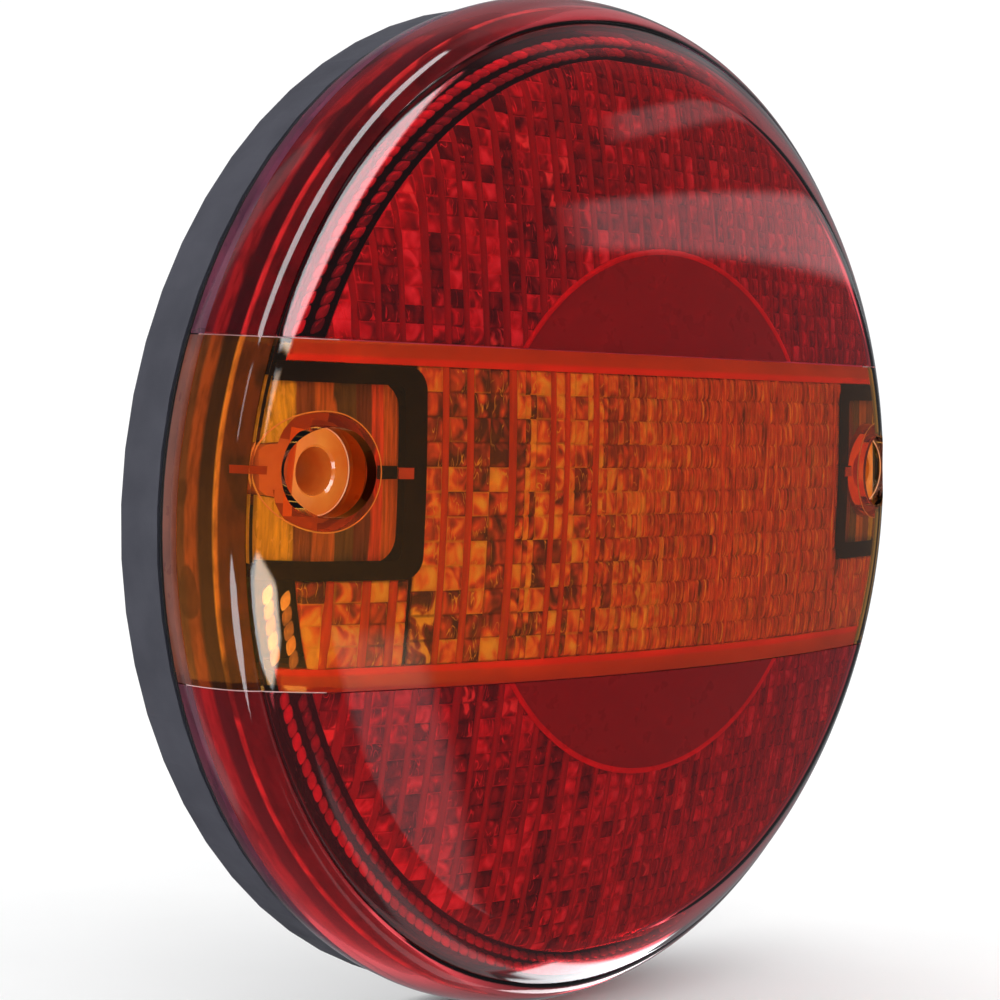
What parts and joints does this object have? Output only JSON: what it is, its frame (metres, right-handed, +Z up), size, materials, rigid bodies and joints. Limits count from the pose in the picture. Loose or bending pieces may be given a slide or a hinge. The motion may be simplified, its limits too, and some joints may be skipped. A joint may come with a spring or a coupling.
{
  "type": "trailer tail light",
  "caption": "Round rear lamp with a red, amber and red domed lens, a dark sealed base and two screw recesses through the lens.",
  "frame": {"origin": "centre of the flat rear mounting face", "axes": "+Y points into the trailer panel behind the lamp, the lens faces -Y, +Z is up with the amber band level"},
  "size_m": [0.1418, 0.0335, 0.1418],
  "materials": {
    "red_lens": "transparent red acrylic, polished outside",
    "amber_lens": "transparent amber acrylic, polished outside",
    "base_plastic": "dark slate grey, fine moulded texture",
    "black_rubber": "matt",
    "black_foam": "closed-cell foam, matt",
    "zinc_steel": "zinc plated",
    "shield_plastic": "black, satin",
    "board_laminate": "solder mask",
    "screw_steel": "plated",
    "baffle_plastic": "white, satin",
    "metallised_plastic": "vacuum metallised",
    "terminal_plastic": "satin",
    "terminal_brass": "plain",
    "black_epoxy": "moulded",
    "resistor_ceramic": "ceramic",
    "capacitor_can": "drawn can",
    "red_led": "tinted epoxy dome",
    "amber_led": "tinted epoxy dome"
  },
  "bodies": {
    "housing": {"amber_led_1": "amber_led", "amber_led_10": "amber_led", "amber_led_2": "amber_led", "amber_led_3": "amber_led", "amber_led_4": "amber_led", "amber_led_5": "amber_led", "amber_led_6": "amber_led", "amber_led_7": "amber_led", "amber_led_8": "amber_led", "amber_led_9": "amber_led", "base_housing": "base_plastic", "board_screw_1": "screw_steel", "board_screw_2": "screw_steel", "board_screw_3": "screw_steel", "board_screw_4": "screw_steel", "cable_grommet": "black_rubber", "circuit_board": "board_laminate", "compression_sleeve_left": "zinc_steel", "compression_sleeve_right": "zinc_steel", "driver_chip": "black_epoxy", "filter_capacitor": "capacitor_can", "lens_seal": "black_rubber", "light_baffle_lower": "baffle_plastic", "light_baffle_upper": "baffle_plastic", "load_resistor_1": "resistor_ceramic", "load_resistor_2": "resistor_ceramic", "load_resistor_3": "resistor_ceramic", "mounting_gasket": "black_foam", "post_seal_left": "black_rubber", "post_seal_right": "black_rubber", "protection_diode": "black_epoxy", "red_led_lower_1": "red_led", "red_led_lower_2": "red_led", "red_led_lower_3": "red_led", "red_led_lower_4": "red_led", "red_led_lower_5": "red_led", "red_led_lower_6": "red_led", "red_led_lower_7": "red_led", "red_led_upper_1": "red_led", "red_led_upper_2": "red_led", "red_led_upper_3": "red_led", "red_led_upper_4": "red_led", "red_led_upper_5": "red_led", "red_led_upper_6": "red_led", "red_led_upper_7": "red_led", "reflector_centre": "metallised_plastic", "reflector_lower": "metallised_plastic", "reflector_upper": "metallised_plastic", "screw_shield_left": "shield_plastic", "screw_shield_right": "shield_plastic", "terminal_block": "terminal_plastic", "terminal_screw_1": "terminal_brass", "terminal_screw_2": "terminal_brass", "terminal_screw_3": "terminal_brass", "terminal_screw_4": "terminal_brass"},
    "lens": {"lens_amber_centre": "amber_lens", "lens_red_lower": "red_lens", "lens_red_upper": "red_lens"}
  },
  "joints": [
    {"name": "lens_lift_off", "type": "slide", "parent": "housing", "child": "lens", "axis": [0, -1, 0], "range_m": [0, 0.045]}
  ]
}
